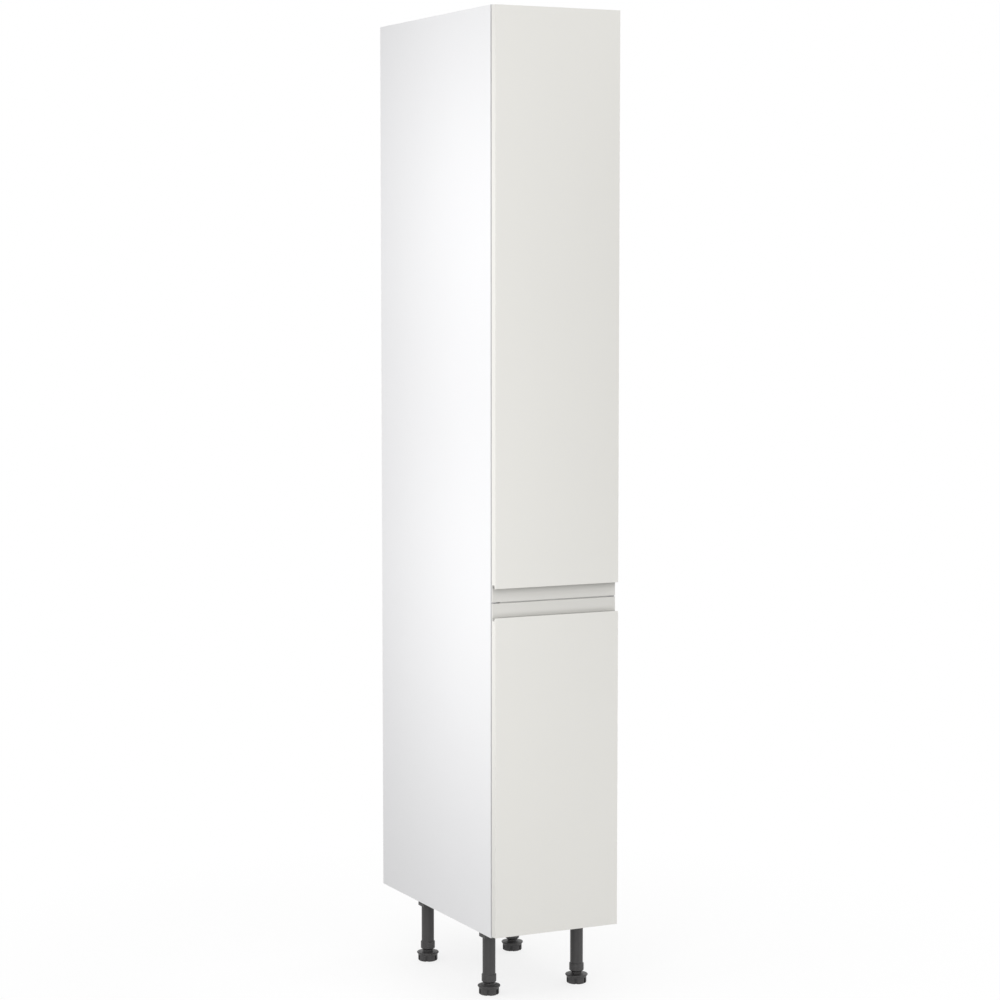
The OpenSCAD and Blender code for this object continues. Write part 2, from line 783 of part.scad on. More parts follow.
// Angle on the bottom bar that runs into the damper's tip
module striker_plate() {
    color("lightgray") difference() {
        translate([0, 0, striker_z]) linear_extrude(striker_h) union() {
            translate([bar_w / 2, striker_y - striker_l]) square([plate_steel, striker_l]);
            translate([bar_w / 2, striker_y - plate_steel])
                square([damper_x + damper_r - bar_w / 2, plate_steel]);
        }
        for (p = striker_bolts())
            rod_x([bar_w / 2 - over, p[0], p[1]], bolt_d + 2 * hole, plate_steel + 2 * over);
    }
}

function striker_bolts() = [for (k = [1, 2]) [striker_y - k * striker_l / 3, striker_z + striker_h / 2]];

// U section under the top panel, open downwards
module top_guide_rail() {
    color("lightgray") difference() {
        along_y(fixed_y, fixed_rail_l) difference() {
            translate([-guide_w / 2, guide_z]) square([guide_w, guide_h]);
            translate([-guide_w / 2 + rail_t, guide_z - over])
                square([guide_w - 2 * rail_t, guide_h - rail_t + over]);
        }
        for (y = runner_screw_ys) translate([0, y, ceiling_z - rail_t]) rotate([180, 0, 0])
            screw_hole(rail_t);
    }
}

module top_rail_screws() {
    color("silver") for (y = runner_screw_ys) translate([0, y, ceiling_z - rail_t]) rotate([180, 0, 0])
        wood_screw(rail_screw_depth + rail_t - slack);
}

// Plate on the top bar that reaches back under the guide rail
module guide_carriage() {
    l = carriage_end - carriage_start;
    color("silver") translate([0, 0, carriage_z]) difference() {
        translate([0, (carriage_start + carriage_end) / 2]) linear_extrude(carriage_t)
            round_rect(tube_w, l, sheet_r);
        for (y = roller_ys) translate([0, y, -over])
            cylinder(d = axle_d + 2 * fit, h = carriage_t + 2 * over);
        for (y = carriage_bolt_ys) translate([0, y, -over])
            cylinder(d = bolt_d + 2 * hole, h = carriage_t + 2 * over);
    }
}

// Axles with a shoulder under the roller and a head above it
module guide_axles() {
    low = carriage_z + carriage_t;
    high = roller_z + roller_h + seat;
    color("gray") for (y = roller_ys) translate([0, y, 0]) union() {
        translate([0, 0, carriage_z]) cylinder(d = axle_d, h = high - carriage_z + bite);
        translate([0, 0, low]) cylinder(d = shoulder_d, h = roller_z - seat - low);
        translate([0, 0, high]) cylinder(d = shoulder_d, h = axle_head_h);
    }
}

// Roller dished on both faces between its hub and its rim
module guide_roller(y) {
    b = axle_d / 2 + fit;
    hub = b + roller_hub;
    rim = roller_r - roller_rim;
    color("whitesmoke") translate([0, y, roller_z]) rotate_extrude() difference() {
        polygon([
            [b, 0], [roller_r - edge, 0], [roller_r, edge], [roller_r, roller_h - edge],
            [roller_r - edge, roller_h], [b, roller_h]
        ]);
        for (s = [0, 1]) translate([0, s * roller_h]) mirror([0, s]) polygon([
            [hub, -over], [hub, 0], [hub + roller_slope, roller_dish],
            [rim - roller_slope, roller_dish], [rim, 0], [rim, -over]
        ]);
    }
}

// Upright tube whose outer end lies at y; face is 1 where its baskets lie behind it
module upright(y, face) {
    difference() {
        translate([0, y, tube_z]) linear_extrude(tube_top_z - tube_z) difference() {
            round_rect(tube_w, tube_d, tube_r);
            round_rect(tube_w - 2 * tube_t, tube_d - 2 * tube_t, tube_r - tube_t);
        }
        for (z = bar_bolt_zs) rod_x([-tube_w, y, z], bolt_d + 2 * hole, 2 * tube_w);
        for (b = basket_zs, z = hanger_bolt_zs) translate([0, y, b + z]) rotate([-90 * face, 0, 0])
            cylinder(d = hanger_bolt_d + 2 * hole, h = tube_d);
    }
}

module upright_front() {
    color("silver") difference() {
        upright(tube_ys[0], 1);
        for (z = bracket_bolt_zs) rod_x([-tube_w, tube_ys[0], z], bolt_d + 2 * hole, 2 * tube_w);
    }
}

module upright_rear() {
    color("silver") upright(tube_ys[1], -1);
}

// Channel that takes the tubes' ends, with its base at the bottom
module bar() {
    half = bar_w / 2;
    along_y(frame_y, frame_l) intersection() {
        bent_channel(half, 0, bar_h + over, bar_t, bend_r);
        translate([-bar_w, 0]) square([2 * bar_w, bar_h]);
    }
}

module bottom_bar() {
    color("silver") difference() {
        translate([0, 0, bar_z]) bar();
        for (y = tube_ys, z = bar_bolt_zs) rod_x([-bar_w, y, z], bolt_d + 2 * hole, 2 * bar_w);
        for (y = bar_bolt_ys()) translate([0, y, bar_z - over])
            cylinder(d = bolt_d + 2 * hole, h = bar_t + 2 * over);
        for (p = striker_bolts()) rod_x([0, p[0], p[1]], bolt_d + 2 * hole, bar_w);
    }
}

module top_bar() {
    color("silver") difference() {
        translate([0, 0, bar_top_z]) mirror([0, 0, 1]) bar();
        for (y = tube_ys, z = bar_bolt_zs) rod_x([-bar_w, y, z], bolt_d + 2 * hole, 2 * bar_w);
        for (y = carriage_bolt_ys) translate([0, y, bar_top_z - bar_t - over])
            cylinder(d = bolt_d + 2 * hole, h = bar_t + 2 * over);
    }
}

// Where the bottom bar is bolted to the inner rail
function bar_bolt_ys() = [
    for (k = [1:bar_bolt_count]) frame_y + k * frame_l / (bar_bolt_count + 1)
];

// Cross bolts as [y, z, half of what they clamp]
function cross_bolts() = concat(
    [for (y = tube_ys, z = bar_bolt_zs) [y, z, bar_w / 2]],
    [for (z = bracket_bolt_zs) [tube_ys[0], z, tube_w / 2 + plate_steel]]
);

module frame_bolts() {
    color("gray") {
        for (b = cross_bolts()) translate([b[2], b[0], b[1]]) rotate([0, 90, 0])
            fastener(bolt_d, 2 * b[2] + nut_h, bolt_head_d, bolt_head_h);
        for (y = bar_bolt_ys()) translate([0, y, bar_floor_z])
            fastener(bolt_d, bar_t + rail_t, bolt_head_d, bolt_head_h);
        for (y = carriage_bolt_ys) translate([0, y, carriage_z + carriage_t])
            fastener(bolt_d, carriage_t + bar_t + bolt_end, bolt_head_d, bolt_head_h);
        for (p = striker_bolts()) translate([bar_w / 2 + plate_steel, p[0], p[1]]) rotate([0, 90, 0])
            fastener(bolt_d, plate_steel + bar_t + bolt_end, bolt_head_d, bolt_head_h);
    }
}

module frame_nuts() {
    color("gray") for (b = cross_bolts()) difference() {
        translate([-b[2] - nut_h, b[0], b[1]]) rotate([0, 90, 0])
            cylinder(d = nut_af / cos(30), h = nut_h, $fn = 6);
        rod_x([-b[2] - nut_h - over, b[0], b[1]], bolt_d + 2 * fit, nut_h + 2 * over);
    }
}

// Closed ring of a basket at height z
module ring(z) {
    translate([0, 0, z]) {
        for (s = [-1, 1]) {
            rod([s * ring_x, -ring_y + ring_r, 0], [s * ring_x, ring_y - ring_r, 0], ring_d);
            rod([-ring_x + ring_r, s * ring_y, 0], [ring_x - ring_r, s * ring_y, 0], ring_d);
        }
        for (x = [0, 1], y = [0, 1]) mirror([x, 0, 0]) mirror([0, y, 0])
            translate([ring_x - ring_r, ring_y - ring_r, 0])
                rotate_extrude(angle = 90) translate([ring_r, 0])
                    circle(d = ring_d, $fn = wire_facets);
    }
}

// Welded basket around the middle of its floor: three rings, upright wires, cross wires, floor wires
module basket() {
    run = 2 * (ring_y - ring_r);
    posts = ceil(run / post_step);
    wires = ceil(2 * ring_x / wire_step);
    union() {
        for (z = [0, mid_z, rim_z]) ring(z);
        for (s = [-1, 1], k = [0:posts])
            translate([s * (ring_x - post_inset), k * run / posts - run / 2, -ring_d / 3])
                cylinder(d = post_d, h = rim_z + ring_d / 2);
        for (s = [-1, 1], x = end_post_xs, t = [-1, 1])
            translate([s * x, t * (ring_y - post_inset), -ring_d / 3])
                cylinder(d = post_d, h = rim_z + ring_d / 2);
        for (k = [0.5:1:posts]) let (y = k * run / posts - run / 2)
            rod([-ring_x, y, cross_z], [ring_x, y, cross_z], post_d);
        for (k = [1:wires - 1]) let (x = k * 2 * ring_x / wires - ring_x)
            rod([x, -ring_y, wire_z], [x, ring_y, wire_z], wire_d);
    }
}

module basket_at(k) {
    color("silver") translate([0, basket_y, basket_zs[k - 1]]) basket();
}

// Hooked plate seen from the side: Y runs from the tube's face to the basket, Z from its bottom ring
module hanger_outline() {
    wire_y = plate_steel + seat + ring_d / 2;
    r = ring_d / 2 + seat;
    union() {
        translate([0, mid_z]) square([plate_steel, rim_z + hanger_high - mid_z]);
        translate([wire_y + r, mid_z]) square([plate_steel, hook_rise]);
        translate([wire_y, mid_z]) intersection() {
            difference() {
                circle(r = r + plate_steel);
                circle(r = r);
            }
            translate([-2 * r, -2 * r]) square([4 * r, 2 * r]);
        }
    }
}

module basket_hangers() {
    color("gray") for (b = basket_zs, s = [0, 1]) translate([0, basket_y, b]) mirror([0, s, 0])
        translate([0, -frame_l / 2 + tube_d, 0]) difference() {
            translate([-hanger_w / 2, 0, 0]) rotate([90, 0, 90]) linear_extrude(hanger_w) hanger_outline();
            for (z = hanger_bolt_zs) translate([0, -over, z]) rotate([-90, 0, 0])
                cylinder(d = hanger_bolt_d + 2 * hole, h = plate_steel + 2 * over);
        }
}

module hanger_bolts() {
    color("gray") for (b = basket_zs, s = [0, 1], z = hanger_bolt_zs)
        translate([0, basket_y, b + z]) mirror([0, s, 0])
            translate([0, -frame_l / 2 + tube_d + plate_steel, 0]) rotate([-90, 0, 0])
                fastener(hanger_bolt_d, plate_steel + tube_t + bolt_end, hanger_head_d,
                         hanger_head_h);
}

// Section of a front: X runs from its face to its back, Y from the joint edge to the far edge
module front_outline(h) {
    land = [lip_land, lip_v];
    centre = [recess_depth - scoop_r, lip_v + undercut - scoop_r];
    reach = norm(centre - land);
    slope = atan2(centre[1] - land[1], centre[0] - land[0]) + asin(scoop_r / reach);
    run = sqrt(reach * reach - scoop_r * scoop_r);
    difference() {
        square([front_t, h]);
        translate([-over, -over]) square([recess_depth + over, lip_v + over]);
        translate(centre) circle(r = scoop_r);
        polygon([land - [0, over], land, land + run * [cos(slope), sin(slope)], centre,
                 [recess_depth, centre[1]], [recess_depth, lip_v - over]]);
        translate([0, lip_v]) difference() {
            translate([-over, -over]) square([lip_r + over, lip_r + over]);
            translate([lip_r, lip_r]) circle(r = lip_r);
        }
    }
}

// Holes in the fronts' backs for the screws of brackets and link plate
module front_holes() {
    for (p = bracket_screw_places()) translate([p[0], front_back_y + over, p[1]]) rotate([90, 0, 0])
        cylinder(d = screw_d + 2 * fit, h = bracket_screw_l + slack + over);
}

module front_upper() {
    color("ivory") difference() {
        translate([-front_w / 2, front_face_y, upper_z]) rotate([90, 0, 90])
            linear_extrude(front_w) front_outline(upper_h);
        front_holes();
    }
}

module front_lower() {
    color("ivory") difference() {
        translate([-front_w / 2, front_face_y, lower_z + lower_h]) rotate([90, 0, 90])
            linear_extrude(front_w) mirror([0, 1]) front_outline(lower_h);
        front_holes();
    }
}

// Where screws hold the brackets and the link plate to the fronts, as [x, z]
function bracket_screw_places() = concat(
    [for (z = bracket_zs, s = [-1, 1], t = [-1, 1]) [s * bracket_screw_x, z + t * bracket_hole_dz]],
    [for (s = [-1, 0, 1], t = [-1, 1])
        [s * (link_w / 2 - link_screw_in[0]), joint_z + t * (link_h / 2 - link_screw_in[1])]]
);

// Angle bent from sheet: its corner at the origin, one leg along X and one along Y
module angle_outline(x, y) {
    r = plate_steel + bend_in;
    union() {
        translate([r, 0]) square([x - r, plate_steel]);
        translate([0, r]) square([plate_steel, y - r]);
        intersection() {
            translate([r, r]) difference() {
                circle(r = r);
                circle(r = r - plate_steel);
            }
            square([r, r]);
        }
    }
}

// Slot along the first axis of its own plane, cut through a sheet
module slot(l, d) {
    translate([0, 0, -plate_steel]) linear_extrude(3 * plate_steel) {
        square([l, d], center = true);
        for (s = [-1, 1]) translate([s * l / 2, 0]) circle(d = d);
    }
}

// Left and right angle that join the front tube to a front
module front_bracket(z) {
    color("lightgray") for (s = [0, 1]) mirror([s, 0, 0]) translate([tube_w / 2, front_back_y, z])
        difference() {
            translate([0, 0, -bracket_h / 2]) linear_extrude(bracket_h)
                angle_outline(bracket_w, bracket_reach);
            for (t = [-1, 1]) translate([0, 0, t * bracket_hole_dz]) {
                translate([bracket_screw_x - tube_w / 2, 0, 0]) rotate([90, 90, 0])
                    slot(slot_l, bracket_hole_d);
                translate([0, tube_ys[0] - front_back_y, 0]) rotate([90, 0, 90])
                    slot(slot_l, bolt_d + 2 * hole);
            }
        }
}

module front_link_plate() {
    color("lightgray") difference() {
        translate([0, front_back_y + plate_steel, joint_z]) rotate([90, 0, 0])
            linear_extrude(plate_steel) round_rect(link_w, link_h, sheet_r);
        for (p = bracket_screw_places()) translate([p[0], front_back_y - over, p[1]])
            rotate([-90, 0, 0]) cylinder(d = bracket_hole_d, h = plate_steel + 2 * over);
    }
}

module bracket_screws() {
    color("silver") for (p = bracket_screw_places())
        translate([p[0], front_back_y + plate_steel, p[1]]) rotate([-90, 0, 0])
            fastener(screw_d, bracket_screw_l + plate_steel, bracket_head_d, bracket_head_h);
}

color("white") side_panel();  // side_panel_left
color("white") mirror([1, 0, 0]) side_panel();  // side_panel_right
bottom_panel();
top_panel();
back_panel();
color("white") difference() {  // rear_rail_top
    rear_rail(rail_levels[1]);
    wall_holes();
}
color("white") rear_rail(rail_levels[0]);  // rear_rail_bottom
cam_locks();
cam_bolts();
wood_dowels();
for (s = [0, 1], k = [0, 1]) {
    place = str(k == 0 ? "front" : "rear", s == 0 ? "_left" : "_right");
    translate([s == 0 ? -leg_x : leg_x, leg_ys[k], 0]) {
        color("dimgray")
            mirror([s == 0 ? 1 : 0, 0, 0]) leg_socket();
        color("dimgray") leg_column();
        color("dimgray") leg_foot();
    }
}
leg_screws();
runner_fixed_rail();
runner_middle_rail();
runner_inner_rail();
ball_cage_outer();
ball_cage_inner();
runner_screws();
damper_body();
damper_rod();
striker_plate();
top_guide_rail();
top_rail_screws();
guide_carriage();
guide_axles();
guide_roller(roller_ys[0]);  // guide_roller_front
guide_roller(roller_ys[1]);  // guide_roller_rear
upright_front();
upright_rear();
bottom_bar();
top_bar();
frame_bolts();
frame_nuts();
for (k = [1:basket_count]) basket_at(k);
basket_hangers();
hanger_bolts();
front_upper();
front_lower();
for (k = [1:len(bracket_zs)]) front_bracket(bracket_zs[k - 1]);
front_link_plate();
bracket_screws();
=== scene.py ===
import json
import math

import bmesh
import bpy
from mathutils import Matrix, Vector


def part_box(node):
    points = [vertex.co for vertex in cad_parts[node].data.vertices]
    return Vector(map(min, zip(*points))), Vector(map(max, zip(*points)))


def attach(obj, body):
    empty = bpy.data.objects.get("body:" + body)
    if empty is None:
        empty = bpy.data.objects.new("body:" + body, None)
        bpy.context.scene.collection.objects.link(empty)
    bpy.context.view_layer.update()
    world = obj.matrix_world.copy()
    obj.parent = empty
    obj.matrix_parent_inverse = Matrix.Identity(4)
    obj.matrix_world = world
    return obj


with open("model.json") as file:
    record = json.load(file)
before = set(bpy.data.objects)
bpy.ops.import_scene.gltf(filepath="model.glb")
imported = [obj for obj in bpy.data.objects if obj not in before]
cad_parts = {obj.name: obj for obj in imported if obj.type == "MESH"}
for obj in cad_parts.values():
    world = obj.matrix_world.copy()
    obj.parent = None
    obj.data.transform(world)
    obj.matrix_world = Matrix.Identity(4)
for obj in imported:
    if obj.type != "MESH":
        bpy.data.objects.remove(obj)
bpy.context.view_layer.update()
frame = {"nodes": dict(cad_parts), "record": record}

# Pull-out pantry cabinet: materials, small fittings, light and camera on top of the CAD frame.
# All lengths are in metres, with X to the right, -Y to the front and Z up.

# Camera, solved from the photograph's edges
CAMERA_AT = Vector((-2.610, -5.348, 1.576))
CAMERA_TURN = math.radians(26.09)
CAMERA_DIP = math.radians(4.844)
CAMERA_LENS = 95.72
SENSOR = 36.0

# Planes of the CAD model that the materials and fittings line up with
SIDE_LOW, SIDE_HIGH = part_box("side_panel_left")
UPPER_LOW, UPPER_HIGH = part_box("front_upper")
LOWER_LOW, LOWER_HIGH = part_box("front_lower")
BOARD_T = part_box("side_panel_left")[1].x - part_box("side_panel_left")[0].x
INNER_HALF = -SIDE_HIGH.x
BAND_T = 0.0008
PLANE_TOLERANCE = 0.00015
JOINT_Z = (LOWER_HIGH.z + UPPER_LOW.z) / 2
RECESS_HALF = 0.03125
UNDERCUT = 0.007


# Shader building blocks

class Shader:
    """A material's node tree, put together from short calls."""

    def __init__(self, name):
        self.material = bpy.data.materials.new(name)
        self.material.use_nodes = True
        self.tree = self.material.node_tree
        self.surface = self.tree.nodes["Principled BSDF"]

    def add(self, kind, inputs=None, **settings):
        node = self.tree.nodes.new("ShaderNode" + kind)
        for key, value in settings.items():
            setattr(node, key, value)
        for key, value in (inputs or {}).items():
            self.put(node.inputs[key], value)
        return node

    def put(self, socket, value):
        if isinstance(value, bpy.types.NodeSocket):
            self.tree.links.new(value, socket)
        else:
            socket.default_value = value

    def place(self, stretch=(1, 1, 1)):
        """Place on the object in metres; a small stretch factor makes a pattern longer along that axis."""
        coordinates = self.add("TexCoord").outputs["Object"]
        return self.add("Mapping", {"Vector": coordinates, "Scale": stretch}).outputs["Vector"]

    def noise(self, per_metre, detail=2.0, stretch=(1, 1, 1), roughness=0.5):
        return self.add("TexNoise", {"Vector": self.place(stretch), "Scale": per_metre,
                                     "Detail": detail, "Roughness": roughness}).outputs["Fac"]

    def cells(self, per_metre, stretch=(1, 1, 1)):
        """The distance from the middle of the nearest cell."""
        node = self.add("TexVoronoi", {"Vector": self.place(stretch), "Scale": per_metre})
        return node.outputs["Distance"]

    def flakes(self, per_metre, stretch=(1, 1, 1)):
        """A random level for each cell of a pattern of close-packed chips."""
        return self.add("TexVoronoi", {"Vector": self.place(stretch), "Scale": per_metre}).outputs["Color"]

    def spread(self, value, low, high, start=0.3, end=0.7):
        """value, from start to end, becomes low to high."""
        return self.add("MapRange", {"Value": value, "From Min": start, "From Max": end,
                                     "To Min": low, "To Max": high}).outputs["Result"]

    def maths(self, operation, a, b):
        return self.add("Math", {0: a, 1: b}, operation=operation).outputs[0]

    def axis(self, letter):
        return self.add("SeparateXYZ", {"Vector": self.place()}).outputs[letter]

    def mix(self, share, a, b):
        node = self.add("Mix", data_type="RGBA")
        for index, value in ((0, share), (6, a), (7, b)):
            self.put(node.inputs[index], value)
        return node.outputs[2]

    def bump(self, *layers):
        """Layers are (height socket, depth in metres, strength)."""
        normal = None
        for height, depth, strength in layers:
            inputs = {"Height": height, "Distance": depth, "Strength": strength}
            if normal:
                inputs["Normal"] = normal
            normal = self.add("Bump", inputs).outputs["Normal"]
        self.put(self.surface.inputs["Normal"], normal)

    def finish(self, **sockets):
        for key, value in sockets.items():
            self.put(self.surface.inputs[key.replace("_", " ")], value)
        return self.material


def rgb(red, green, blue):
    return (red, green, blue, 1.0)


def scaled(color, factor):
    return rgb(*(c * factor for c in color[:3]))


# Materials

def chipboard(s):
    """Colour of a raw sawn chipboard edge, whose chips lie along the board."""
    upright = s.maths("GREATER_THAN", s.maths("ABSOLUTE", s.axis("X"), 0), INNER_HALF)
    coarse = s.mix(upright, s.flakes(560, (0.28, 1, 1)), s.flakes(560, (1, 1, 0.28)))
    fine = s.mix(upright, s.flakes(1500, (0.5, 1, 1)), s.flakes(1500, (1, 1, 0.5)))
    chips = s.maths("ADD", s.maths("MULTIPLY", coarse, 0.6), s.maths("MULTIPLY", fine, 0.4))
    wood = s.mix(s.spread(chips, 0, 1), rgb(0.38, 0.26, 0.15), rgb(0.66, 0.51, 0.34))
    return s.mix(s.spread(s.noise(2600, 3), 0, 0.5, 0.55, 0.75), wood, rgb(0.2, 0.12, 0.06))


def outer_boards(s):
    """1 on the sides, top and bottom of the carcass, 0 on what lies between them."""
    middle_z = (SIDE_LOW.z + SIDE_HIGH.z) / 2
    half_z = (SIDE_HIGH.z - SIDE_LOW.z) / 2 - BOARD_T
    side = s.maths("GREATER_THAN", s.maths("ABSOLUTE", s.axis("X"), 0), INNER_HALF)
    from_middle = s.maths("ABSOLUTE", s.maths("SUBTRACT", s.axis("Z"), middle_z), 0)
    return s.maths("MAXIMUM", side, s.maths("GREATER_THAN", from_middle, half_z))


def board_material(name, color, raw_plane=None):
    """Coated board with a satin print of fine pores; raw_plane is the y of a sawn face."""
    s = Shader(name)
    pores = s.noise(2400, 3, roughness=0.6)
    cloud = s.noise(2.2, 2)
    handled = s.noise(26, 4, roughness=0.7)
    tone = s.mix(s.spread(cloud, 0, 1), scaled(color, 0.985), color)
    band_y = s.maths("ABSOLUTE", s.maths("SUBTRACT", s.axis("Y"), SIDE_LOW.y + BAND_T), 0)
    band = s.maths("LESS_THAN", band_y, PLANE_TOLERANCE)
    tone = s.mix(s.maths("MULTIPLY", band, 0.35), tone, scaled(color, 0.55))
    # Painted shade: the carcass's front edge faces are darkened, standing in for the shadow in the gap
    # behind the fronts
    painted_shade_edge_face = s.maths("LESS_THAN", s.axis("Y"), SIDE_LOW.y + PLANE_TOLERANCE)
    tone = s.mix(painted_shade_edge_face, tone, scaled(color, 0.7))
    if raw_plane is not None:
        raw = s.maths("GREATER_THAN", s.axis("Y"), raw_plane - PLANE_TOLERANCE)
        raw = s.maths("MULTIPLY", raw, outer_boards(s))
        tone = s.mix(raw, tone, chipboard(s))
    rough = s.spread(pores, 0.36, 0.46)
    rough = s.maths("ADD", rough, s.spread(handled, -0.02, 0.03))
    s.bump((pores, 0.00004, 0.35), (s.noise(9, 2), 0.0008, 0.02))
    return s.finish(Base_Color=tone, Roughness=rough)


# Painted shade in the finger recess: depths where it starts and is full, clean strip at the back, reach
# past undercuts
SHADE_FROM = 0.0018
SHADE_FULL = 0.006
CLEAN_BACK = 0.003
SHADE_OVER = 0.0005


def recess_painted_shade(s):
    """How much painted shade darkens the finger recess, standing in for the shade its lips cast: most
    behind the lips.
    """
    up = s.maths("SUBTRACT", s.axis("Z"), JOINT_Z)
    high = s.spread(up, 0.0, 0.2, RECESS_HALF * 0.55, RECESS_HALF)
    low = s.spread(up, 0.06, 0.0, -RECESS_HALF, -RECESS_HALF * 0.6)
    behind_high = s.maths("MULTIPLY", s.maths("GREATER_THAN", up, RECESS_HALF), 0.25)
    behind_low = s.maths("MULTIPLY", s.maths("LESS_THAN", up, -RECESS_HALF), 0.2)
    shade = 0.14
    for part in (high, low, behind_high, behind_low):
        shade = s.maths("ADD", shade, part)
    deep = s.spread(s.axis("Y"), 0.0, 1.0, UPPER_LOW.y + SHADE_FROM, UPPER_LOW.y + SHADE_FULL)
    before_back = s.maths("LESS_THAN", s.axis("Y"), UPPER_HIGH.y - CLEAN_BACK)
    near = s.maths("LESS_THAN", s.maths("ABSOLUTE", up, 0), RECESS_HALF + UNDERCUT + SHADE_OVER)
    return s.maths("MULTIPLY", s.maths("MULTIPLY", shade, deep), s.maths("MULTIPLY", before_back, near))


def lacquer_material(name, color, inner):
    """Matt lacquered front: a soft orange peel, painted shade in the finger recess, and a white coated
    inner face.
    """
    s = Shader(name)
    peel = s.noise(420, 2)
    dust = s.noise(3200, 2)
    cloud = s.noise(1.7, 2)
    tone = s.mix(s.spread(cloud, 0, 1), scaled(color, 0.985), color)
    # Painted shade: the finger recess is darkened, most behind the lips, where their shade falls
    tone = s.mix(recess_painted_shade(s), tone, scaled(color, 0.1))
    back = s.maths("GREATER_THAN", s.axis("Y"), UPPER_HIGH.y - PLANE_TOLERANCE)
    tone = s.mix(back, tone, inner)
    s.bump((peel, 0.00006, 0.28), (dust, 0.00001, 0.3))
    return s.finish(Base_Color=tone, Roughness=s.spread(dust, 0.5, 0.6))


def moulded_material(name, color, roughness, grain=900, wear=1.25):
    """Injection-moulded plastic with an eroded grain and scuffs that are lighter than the rest."""
    s = Shader(name)
    erosion = s.noise(grain, 3, roughness=0.65)
    scuffs = s.noise(70, 5, (1, 1, 0.25), roughness=0.75)
    tone = s.mix(s.spread(scuffs, 0, 1, 0.58, 0.78), color, scaled(color, wear))
    tone = s.mix(s.spread(erosion, 0, 0.12), tone, scaled(color, 0.7))
    s.bump((erosion, 0.00008, 0.4), (scuffs, 0.00005, 0.15))
    return s.finish(Base_Color=tone, Roughness=s.spread(erosion, roughness - 0.06, roughness + 0.07))


def zinc_material(name, color, drawn):
    """Zinc-plated steel with drawing lines along one axis and a cloudy bloom."""
    s = Shader(name)
    lines = s.noise(1300, 3, drawn, roughness=0.7)
    bloom = s.noise(38, 4, roughness=0.65)
    grease = s.noise(9, 3)
    tone = s.mix(s.spread(bloom, 0, 1), scaled(color, 0.86), scaled(color, 1.06))
    tone = s.mix(s.spread(lines, 0, 0.25), tone, scaled(color, 0.7))
    rough = s.maths("ADD", s.spread(bloom, 0.26, 0.42), s.spread(grease, -0.05, 0.05))
    s.bump((lines, 0.00002, 0.35), (bloom, 0.00006, 0.12))
    return s.finish(Base_Color=tone, Metallic=1.0, Roughness=rough)


def chrome_material(name):
    """Bright plated wire, a little duller where hands and goods rub it."""
    s = Shader(name)
    rub = s.noise(60, 4, roughness=0.7)
    ripple = s.noise(700, 2)
    tone = s.mix(s.spread(rub, 0, 1), rgb(0.74, 0.75, 0.77), rgb(0.86, 0.87, 0.89))
    s.bump((ripple, 0.00003, 0.12))
    return s.finish(Base_Color=tone, Metallic=1.0, Roughness=s.spread(rub, 0.08, 0.2))


def powder_material(name, color, metallic=0.55):
    """Powder coat: an even small-scale pebble."""
    s = Shader(name)
    pebble = s.noise(1100, 2)
    cloud = s.noise(5, 2)
    tone = s.mix(s.spread(cloud, 0, 1), scaled(color, 0.95), scaled(color, 1.04))
    tone = s.mix(s.spread(pebble, 0, 0.15), tone, scaled(color, 1.35))
    s.bump((pebble, 0.00008, 0.4))
    return s.finish(Base_Color=tone, Metallic=metallic, Roughness=s.spread(pebble, 0.36, 0.5))


def beech_material(name):
    """Raw turned beech with its grain along the dowel."""
    s = Shader(name)
    grain = s.noise(900, 4, (0.06, 1, 1), roughness=0.7)
    flecks = s.cells(1400, (0.2, 1, 1))
    tone = s.mix(s.spread(grain, 0, 1), rgb(0.5, 0.33, 0.19), rgb(0.72, 0.55, 0.36))
    tone = s.mix(s.spread(flecks, 0.25, 0, 0.05, 0.3), tone, rgb(0.36, 0.2, 0.1))
    s.bump((grain, 0.0001, 0.3))
    return s.finish(Base_Color=tone, Roughness=s.spread(grain, 0.55, 0.7))


WHITE = rgb(0.86, 0.86, 0.872)
LACQUER = rgb(0.80, 0.79, 0.755)

MATERIALS = {
    "carcass_board": board_material("carcass_board", WHITE, raw_plane=SIDE_HIGH.y),
    "back_board": board_material("back_board", scaled(WHITE, 0.97)),
    "front_lacquer": lacquer_material("front_lacquer", LACQUER, WHITE),
    "beech": beech_material("beech"),
    "leg_plastic": moulded_material("leg_plastic", rgb(0.047, 0.045, 0.0455), 0.46),
    # Painted shade: the link plate behind the fronts' joint is given a mid grey, standing in for the shadow
    # in the joint gap
    "pale_steel": powder_material("pale_steel", rgb(0.56, 0.56, 0.55), metallic=0.0),
    "zinc_steel": zinc_material("zinc_steel", rgb(0.66, 0.68, 0.7), drawn=(1, 0.03, 1)),
    "bolt_steel": zinc_material("bolt_steel", rgb(0.6, 0.61, 0.64), drawn=(1, 1, 1)),
    "ball_steel": zinc_material("ball_steel", rgb(0.7, 0.66, 0.55), drawn=(1, 0.1, 1)),
    "frame_paint": powder_material("frame_paint", rgb(0.46, 0.47, 0.49)),
    "chrome_wire": chrome_material("chrome_wire"),
    "damper_plastic": moulded_material("damper_plastic", rgb(0.2, 0.2, 0.21), 0.42),
    "white_nylon": moulded_material("white_nylon", rgb(0.78, 0.78, 0.75), 0.38, wear=0.85),
    "silicone": moulded_material("silicone", rgb(0.7, 0.72, 0.74), 0.25, grain=300),
}

# Bevel width of the boards' and fronts' edges, and of small steel and plastic ones
SOFT_EDGES = {"carcass_board": 0.0006, "back_board": 0.0003, "front_lacquer": 0.0007,
              "zinc_steel": 0.0003, "leg_plastic": 0.0004, "frame_paint": 0.0003}
BEVEL_ANGLE = math.radians(50)


